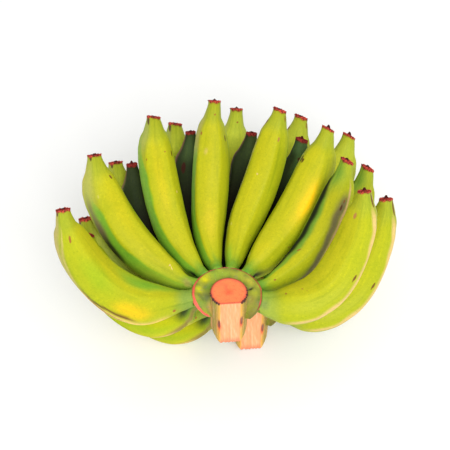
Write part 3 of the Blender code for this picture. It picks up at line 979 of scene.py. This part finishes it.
def stalk_tint(outline, on_flat, height):
    """Shaved flesh at the front, striped olive and tan skin around the rest, dark stains on the edges."""
    turn = np.arctan2(outline[:, 0], outline[:, 1])[None, :]
    rows = height[:, None]
    stripe = waves(61, turn, 0 * rows, count=26, reach=60)
    stripe = stripe + 0.5 * waves(62, turn, rows * 0.02, count=20, reach=90)
    tint = blend(plain((158, 142, 66), stripe), (220, 166, 98), between(stripe, -0.5, 0.8))
    beside_flat = np.abs(outline[:, 0]) - FLAT_EDGE
    ahead = between(-outline[:, 1], 4, 10)
    yellow = (hill(beside_flat, 0, 1.9) * ahead)[None, :]
    tint = blend(tint, (150, 160, 58), 0.5 * between(rows, -16, 3) * between(stripe, 0.5, -0.5))
    tint = blend(tint, (236, 176, 70), 0.9 * yellow)
    tint = blend(tint, (238, 172, 124), 0.9 * hill(turn, -1.74, 0.13) * between(-rows, 10, 18))
    streak = waves(63, turn * 3, rows * 0.01, count=24, reach=60)
    flesh = blend(plain((250, 168, 116), stripe), (248, 150, 108), between(streak, 0.1, 1.2))
    flesh = blend(flesh, (253, 192, 148), between(-streak, 0.1, 1.2))
    edge = np.abs(outline[:, 0])[None, :] / FLAT_EDGE
    flesh = blend(flesh, (244, 178, 84), 0.75 * between(edge, 0.86, 1.0))
    ragged = 2.0 * waves(64, turn * 2, 0 * rows, count=14, reach=50)
    low = between(-rows + ragged, -STALK_BOTTOM - 7, -STALK_BOTTOM - 1)
    flesh = blend(flesh, (246, 124, 92), 0.7 * low)
    tint = np.where(on_flat[None, :, None], flesh, tint)
    for side, middle in STAINS:
        beside = (outline[:, 0] - side * (FLAT_EDGE + 0.3))[None, :]
        tail = hill(beside, 0, 1.5) * hill(rows, middle - 3, 6.0)
        core = hill(beside, 0.3 * side, 1.2) * np.exp(-(((rows - middle) / 5.1) ** 4))
        tint = blend(tint, (244, 104, 60), np.clip(1.4 * tail * ahead, 0, 0.95))
        tint = blend(tint, (104, 54, 50), np.clip(1.2 * core * ahead, 0, 0.92))
    top = between(rows, STALK_TOP - 1.5, STALK_TOP - 0.6) * ~on_flat[None, :]
    return blend(tint, (110, 62, 44), 0.8 * top)


def turn_stalk(points):
    """The stalk stands a little off the middle, its shaved face turned a little to the right."""
    turned = points @ np.array(Matrix.Rotation(math.radians(STALK_TURN), 3, "Z")).T
    return turned + (STALK_SHIFT, -STALK_FORWARD, 0)


def stalk_mesh():
    outline, on_flat = stalk_outline()
    turn = np.arctan2(outline[:, 0], outline[:, 1])
    height = np.linspace(STALK_BOTTOM, STALK_TOP - 0.5, STALK_ROWS)
    sides = np.zeros((STALK_ROWS, STALK_SIDES, 3))
    fibres = waves(51, turn[None, :], height[:, None] * 0.004, count=30, reach=60)
    sides[..., :2] = outline[None] * (1 + 0.012 * fibres * ~on_flat[None, :])[..., None]
    rise = np.clip((height - STALK_BOTTOM) / TRIMMED, 0, 1)[:, None]
    widest = FLAT_EDGE + (STALK_RADIUS - FLAT_EDGE) * rise**0.75
    sides[..., 0] = np.clip(sides[..., 0], -widest, widest)
    sides[..., 2] = height[:, None]
    sides[0, :, 2] += 0.8 * waves(53, turn, 0 * turn, count=16, reach=40)

    cut = np.array(FACE_SHARES)[:, None]
    face = np.zeros((len(cut), STALK_SIDES, 3))
    face[..., :2] = outline[None] * cut[..., None]
    face[..., 2] = STALK_TOP - 0.5 + np.array(FACE_RISES)[:, None]
    face[..., 2] += 0.12 * waves(57, turn[None, :], cut * 9, count=12, reach=12)
    shrink = np.array(UNDER_SHARES)[:, None]
    under = np.zeros((len(shrink), STALK_SIDES, 3))
    under[..., :2] = sides[0, :, :2][None] * shrink[..., None]
    under[..., 2] = STALK_BOTTOM + 0.6 + 0.5 * waves(59, turn[None, :], shrink * 9, count=12, reach=14)
    points = turn_stalk(np.concatenate([under, sides, face]))

    patchy = waves(65, turn[None, :], cut * 1.5, count=12, reach=9)
    face_tint = blend(plain((255, 142, 88), patchy), (255, 100, 66), 0.85 * (1 - between(cut, 0.0, 0.36)))
    face_tint = blend(face_tint, (255, 118, 84), 0.6 * between(patchy, 0.0, 1.0))
    face_tint = blend(face_tint, (242, 100, 80), 0.8 * between(cut, 0.78, 0.95))
    face_tint = blend(face_tint, (120, 50, 44), between(cut, 0.945, 0.975) * ~on_flat[None, :])
    under_tint = plain((226, 158, 108), under[..., 0])
    tint = np.concatenate([under_tint, stalk_tint(outline, on_flat, height), face_tint])
    flow = points.copy()
    run = np.cumsum(np.hypot(*np.diff(outline, axis=0, prepend=outline[:1]).T))
    flow[len(under) : -len(face), :, 0] = run[None, :]
    flow[len(under) : -len(face), :, 1] = 0
    on_face = np.zeros(points.shape[:2])
    on_face[-len(face) :] = 1
    mesh = make_mesh("stalk", points, grid_faces(*points.shape[:2]))
    paint(mesh, tint, flow, face=on_face)
    return mesh


# Drops of dried sap around the cut: heading and radius in mm.
BEADS = (
    (-72, 0.7), (-90, 1.0), (-99, 1.2), (-109, 0.9), (-117, 1.4), (-126, 1.1), (-134, 1.4), (-142, 1.1),
    (58, 0.7), (76, 0.8), (88, 1.2), (97, 0.9), (106, 1.3), (116, 1.0), (125, 1.2), (133, 1.5), (141, 1.2),
)


def bead_mesh():
    draw = np.random.default_rng(71)
    bottom, turn = np.meshgrid(np.linspace(0, math.pi, 9), np.linspace(0, 2 * math.pi, 12, endpoint=False))
    bottom, turn = bottom.T, turn.T
    ball = np.stack([np.sin(bottom) * np.cos(turn), np.sin(bottom) * np.sin(turn), np.cos(bottom)], axis=-1)
    points, faces = [], []
    for heading, radius in BEADS:
        size = 1.3 * radius * draw.uniform(0.75, 1.15, 3)
        place = outwards(heading) * (STALK_RADIUS - 0.3) * (1, STALK_DEEPER, 1)
        place = turn_stalk(place + (0, 0, STALK_TOP - 0.7))
        faces.append(grid_faces(*ball.shape[:2])[:, ::-1] + sum(map(len, points)))
        points.append((ball * size).reshape(-1, 3) * 0.8 + place)
    points = np.vstack(points)
    mesh = make_mesh("beads", points, np.vstack(faces))
    paint(mesh, plain((70, 28, 30), points[:, 0]), points)
    return mesh


# Materials


class Nodes:
    """A material's shader nodes, with short ways to add and join them."""

    def __init__(self, name):
        self.material = bpy.data.materials.new(name)
        self.material.use_nodes = True
        self.tree = self.material.node_tree
        self.flow = self.add("ShaderNodeAttribute", {}, attribute_name="flow")["Vector"]
        self.tint = self.add("ShaderNodeAttribute", {}, attribute_name="tint")["Color"]

    def join(self, source, target):
        if isinstance(source, bpy.types.NodeSocket):
            self.tree.links.new(source, target)
        else:
            target.default_value = (*linear(source), 1.0) if target.type == "RGBA" else source

    def add(self, kind, inputs, **settings):
        node = self.tree.nodes.new(kind)
        for key, value in settings.items():
            setattr(node, key, value)
        for key, value in inputs.items():
            self.join(value, node.inputs[key])
        return node.outputs

    def surface(self, **inputs):
        """Sets or joins the shader's own inputs, which are named here with _ for each space."""
        for name, source in inputs.items():
            self.join(source, self.tree.nodes["Principled BSDF"].inputs[name.replace("_", " ")])
        return self.material

    def value(self, name):
        return self.add("ShaderNodeAttribute", {}, attribute_name=name)["Fac"]

    def math(self, operation, *values):
        return self.add("ShaderNodeMath", dict(enumerate(values)), operation=operation)[0]

    def stretch(self, *scale):
        return self.add("ShaderNodeVectorMath", {0: self.flow, 1: scale}, operation="MULTIPLY")[0]

    def noise(self, vector, scale, detail, roughness):
        inputs = {"Vector": vector, "Scale": scale, "Detail": detail, "Roughness": roughness}
        return self.add("ShaderNodeTexNoise", inputs)["Fac"]

    def fade(self, *values):
        """Smoothly from low to high while a value goes from start to end: value, start, end, low, high."""
        return self.add("ShaderNodeMapRange", dict(enumerate(values)), interpolation_type="SMOOTHSTEP")[0]

    def mix(self, base, other, share, mode="MIX"):
        inputs = {0: share, 6: base, 7: other}
        return self.add("ShaderNodeMix", inputs, data_type="RGBA", blend_type=mode, clamp_factor=True)[2]

    def layers(self, base, *layers):
        """Over the base, up to a share of each colour, more and more as a pattern goes on to its end."""
        for colour, pattern, start, end, share, *mode in layers:
            base = self.mix(base, colour, self.fade(pattern, start, end, 0.0, share), *mode)
        return base

    def bump(self, height, distance, strength, **below):
        inputs = {"Height": height, "Distance": distance, "Strength": strength, **below}
        return self.add("ShaderNodeBump", inputs)[0]

    def specks(self, vector, scale, least, size):
        """Scattered round specks: 1 inside them, 0 elsewhere."""
        cells = self.add("ShaderNodeTexVoronoi", {"Vector": vector, "Scale": scale}, feature="F1")
        pick = self.add("ShaderNodeSeparateColor", {0: cells["Color"]})[0]
        reach = self.fade(pick, least, 1.0, 0.0, size)
        speck = self.fade(self.math("SUBTRACT", reach, cells["Distance"]), -0.02, 0.05)
        return self.math("MULTIPLY", speck, self.fade(pick, least - 0.02, least + 0.02))


def peel_material(name, specular, cut_colour):
    make = Nodes(name)
    streaks = make.noise(make.stretch(1, 1, 0.09), 260, 3, 0.6)
    broad = make.noise(make.stretch(1, 1, 0.1), 120, 3, 0.55)
    cloud = make.noise(make.flow, 38, 3, 0.6)
    grain = make.noise(make.flow, 900, 2, 0.6)
    mottle = make.noise(make.flow, 330, 4, 0.7)
    colour = make.layers(
        make.tint,
        ((110, 160, 60), broad, 0.5, 0.78, 0.3, "MULTIPLY"),
        ((255, 240, 190), streaks, 0.54, 0.75, 0.22, "SOFT_LIGHT"),
        ((200, 226, 190), cloud, 0.5, 0.74, 0.25, "MULTIPLY"),
        ((176, 206, 150), mottle, 0.52, 0.7, 0.22, "MULTIPLY"),
        ((250, 244, 200), mottle, 0.46, 0.32, 0.28, "SOFT_LIGHT"),
        ((196, 216, 170), grain, 0.56, 0.72, 0.5, "MULTIPLY"),
    )
    brown = make.specks(make.stretch(1, 1, 0.7), 120, 0.87, 0.13)
    pale = make.specks(make.stretch(1, 0.8, 0.5), 90, 0.9, 0.16)
    colour = make.mix(colour, (160, 98, 44), make.math("MULTIPLY", brown, 0.6))
    colour = make.mix(colour, (222, 206, 130), make.math("MULTIPLY", pale, 0.35))

    inside = make.fade(make.value("mark"), 0.42, 0.62)
    kind = make.value("kind")
    mark_colour = make.mix((62, 26, 22), (160, 92, 42), make.fade(kind, 0.0, 0.5))
    mark_colour = make.mix(mark_colour, (238, 206, 132), make.fade(kind, 0.6, 1.0))
    colour = make.mix(colour, mark_colour, make.math("MULTIPLY", inside, 0.88))

    cut = make.value("cut")
    crust = make.noise(make.flow, 420, 4, 0.7)
    dried = make.mix(cut_colour, (104, 32, 32), make.fade(crust, 0.45, 0.57))
    dried = make.mix(dried, (92, 34, 34), make.fade(make.value("nub"), 0.05, 0.4))
    skin = make.math("MULTIPLY_ADD", streaks, 0.5, make.math("MULTIPLY", grain, 0.25))
    skin = make.bump(skin, 0.0004, 0.5)
    crusted = make.bump(make.math("MULTIPLY", crust, cut), 0.002, 0.8, Normal=skin)
    return make.surface(
        Base_Color=make.mix(colour, dried, cut),
        Roughness=make.math("MULTIPLY_ADD", cut, 0.3, make.fade(streaks, 0.3, 0.7, 0.52, 0.62)),
        Specular_IOR_Level=specular,
        Normal=make.bump(make.math("MULTIPLY", inside, -0.3), 0.0006, 0.6, Normal=crusted),
    )


def rim_material():
    make = Nodes("cut_rim")
    patches = make.noise(make.flow, 240, 4, 0.65)
    colour = make.layers(
        make.tint,
        ((196, 70, 52), patches, 0.54, 0.74, 0.6),
        ((255, 150, 122), patches, 0.44, 0.28, 0.4),
    )
    bumps = make.bump(patches, 0.001, 0.6)
    return make.surface(Base_Color=colour, Roughness=0.6, Specular_IOR_Level=0.25, Normal=bumps)


def hollow_material():
    make = Nodes("collar_hollow")
    cloud = make.noise(make.flow, 150, 4, 0.6)
    grain = make.noise(make.flow, 700, 3, 0.6)
    colour = make.layers(
        make.tint,
        ((136, 134, 92), cloud, 0.54, 0.7, 0.5),
        ((176, 190, 56), cloud, 0.46, 0.3, 0.4),
        ((84, 104, 50), grain, 0.55, 0.7, 0.3),
    )
    specks = make.math("MULTIPLY", make.specks(make.flow, 300, 0.8, 0.2), 0.5)
    return make.surface(
        Base_Color=make.mix(colour, (206, 196, 140), specks),
        Roughness=make.fade(grain, 0.3, 0.7, 0.55, 0.7),
        Specular_IOR_Level=0.25,
        Normal=make.bump(grain, 0.0004, 0.5, Normal=make.bump(cloud, 0.0015, 0.5)),
    )


def stalk_material():
    make = Nodes("cut_stalk")
    fibres = make.noise(make.stretch(1, 1, 0.05), 700, 3, 0.6)
    dots = make.noise(make.flow, 520, 3, 0.7)
    colour = make.layers(
        make.tint,
        ((255, 232, 190), fibres, 0.52, 0.74, 0.4),
        ((206, 140, 92), fibres, 0.46, 0.28, 0.45),
    )
    speckled = make.layers(make.tint, ((228, 80, 58), dots, 0.56, 0.72, 0.6))
    return make.surface(
        Base_Color=make.mix(colour, speckled, make.value("face")),
        Roughness=0.65,
        Specular_IOR_Level=0.2,
        Normal=make.bump(dots, 0.0006, 0.4, Normal=make.bump(fibres, 0.0008, 0.6)),
    )


def bead_material():
    make = Nodes("dried_sap")
    blotch = make.noise(make.flow, 900, 3, 0.6)
    colour = make.layers(make.tint, ((120, 60, 44), blotch, 0.5, 0.7, 0.7))
    return make.surface(Base_Color=colour, Roughness=make.fade(blotch, 0.3, 0.7, 0.35, 0.6))


def floor_material():
    make = Nodes("pale_floor")
    place = make.add("ShaderNodeTexCoord", {})["Object"]
    colour = make.mix((252, 252, 251), (249, 249, 248), make.noise(place, 3, 3, 0.5))
    return make.surface(Base_Color=colour, Roughness=0.9)


# The scene

# The lights: places in metres, turns in degrees.
KEY_PLACE = (0.35, -0.85, 1.2)
KEY_TARGET = (0, 0, 0.12)
KEY_SIZE = 0.9
KEY_POWER = 6
SUN_TURN = (42, 7, 0)
SUN_ANGLE = 35
SUN_POWER = 1.3
SKY_POWER = 0.68
# The camera in the front hand's frame: degrees above the fingers' roots, its lens in mm, and metres.
CAMERA_RISE = 41.1
LENS = 72
CAMERA_RIGHT = -0.001
CAMERA_UP = 0.0651
CAMERA_AWAY = 0.855
FLOOR_SIZE = 6


def bunch_matrix():
    """The hand plan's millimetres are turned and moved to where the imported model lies."""
    back = Matrix.Rotation(math.radians(-LEAN_BACK), 4, "X")
    turned = back @ Matrix.Rotation(math.radians(LEAN_RIGHT), 4, "Y")
    place = Vector(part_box("front_crown")[0]) + Vector(ORIGIN_IN_CROWN) * MM
    return Matrix.Translation(place) @ turned


def add_object(name, data, matrix):
    added = bpy.data.objects.new(name, data)
    added.matrix_world = matrix
    bpy.context.scene.collection.objects.link(added)
    return added


def add_piece(name, shape, material, place, node):
    mesh = shape.copy()
    mesh.name = name
    mesh.transform(place)
    mesh.materials.append(material)
    piece = add_object(name, mesh, Matrix())
    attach(piece, "root")
    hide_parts(node)


def add_bunch(bunch):
    peel = peel_material("banana_peel", 0.15, (232, 88, 70))
    # The lower row's peel is a shaded copy: its cut tips are darker with painted shade, and it shines less.
    shaded_peel = peel_material("shaded_banana_peel", 0.04, (176, 62, 56))
    parts = (
        ("collar_skin", skin_mesh(), peel),
        ("rim", rim_mesh(), rim_material()),
        ("hollow", hollow_mesh(), hollow_material()),
        ("stalk", stalk_mesh(), stalk_material()),
        ("sap_beads", bead_mesh(), bead_material()),
    )
    meshes = {finger.name: finger_mesh(number, finger) for number, finger in enumerate(FINGERS)}
    for hand in HANDS:
        place = bunch @ Matrix.Translation(Vector(hand.place) * MM) @ Matrix.Scale(hand.size, 4)
        for label, mesh, material in parts:
            add_piece(f"{hand.name}_{label}", mesh, material, place, f"{hand.name}_crown")
        for finger in FINGERS:
            node = f"{hand.name}_{finger.name}"
            slot = finger.name.rsplit("_", 1)[0]
            material = shaded_peel if slot == "lower_banana" else peel
            shape = single(*meshes[finger.name], BENDS.get(node, ()), PAINTED_LIGHT.get(node))
            add_piece(f"{node}_peel", shape, material, place, node)


def add_floor():
    bpy.ops.mesh.primitive_plane_add(size=FLOOR_SIZE)
    floor = bpy.context.object
    floor.name = "floor"
    floor.data.materials.append(floor_material())


def add_lights():
    key = bpy.data.lights.new("key", "AREA")
    key.shape = "DISK"
    key.size = KEY_SIZE
    key.energy = KEY_POWER
    place = Vector(KEY_PLACE)
    turn = (Vector(KEY_TARGET) - place).to_track_quat("-Z", "Y").to_matrix().to_4x4()
    add_object("key", key, Matrix.Translation(place) @ turn)
    sun = bpy.data.lights.new("daylight", "SUN")
    sun.angle = math.radians(SUN_ANGLE)
    sun.energy = SUN_POWER
    add_object("daylight", sun, Euler([math.radians(turn) for turn in SUN_TURN]).to_matrix().to_4x4())
    world = bpy.data.worlds.new("studio")
    bpy.context.scene.world = world
    world.use_nodes = True
    world.node_tree.nodes["Background"].inputs["Color"].default_value = (1, 1, 1, 1)
    world.node_tree.nodes["Background"].inputs["Strength"].default_value = SKY_POWER


def add_camera(bunch):
    """The camera looks down on the front hand."""
    data = bpy.data.cameras.new("camera")
    data.sensor_width = 36
    data.lens = LENS
    rise = math.radians(CAMERA_RISE)
    right = Vector((1, 0, 0))
    up = Vector((0, math.sin(rise), math.cos(rise)))
    ahead = right.cross(-up)
    place = right * CAMERA_RIGHT + up * CAMERA_UP - ahead * CAMERA_AWAY
    turn = Matrix((right, up, -ahead)).transposed().to_4x4()
    camera = add_object("camera", data, bunch @ Matrix.Translation(place) @ turn)
    bpy.context.scene.camera = camera


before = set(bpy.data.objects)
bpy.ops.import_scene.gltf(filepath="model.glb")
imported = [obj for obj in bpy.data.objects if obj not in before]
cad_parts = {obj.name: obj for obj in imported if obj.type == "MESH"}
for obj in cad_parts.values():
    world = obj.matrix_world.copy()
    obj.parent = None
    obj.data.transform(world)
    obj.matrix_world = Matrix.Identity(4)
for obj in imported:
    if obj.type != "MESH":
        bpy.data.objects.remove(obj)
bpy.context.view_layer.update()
bunch = bunch_matrix()
add_bunch(bunch)
add_floor()
add_lights()
add_camera(bunch)
bpy.context.scene.view_settings.view_transform = "Standard"
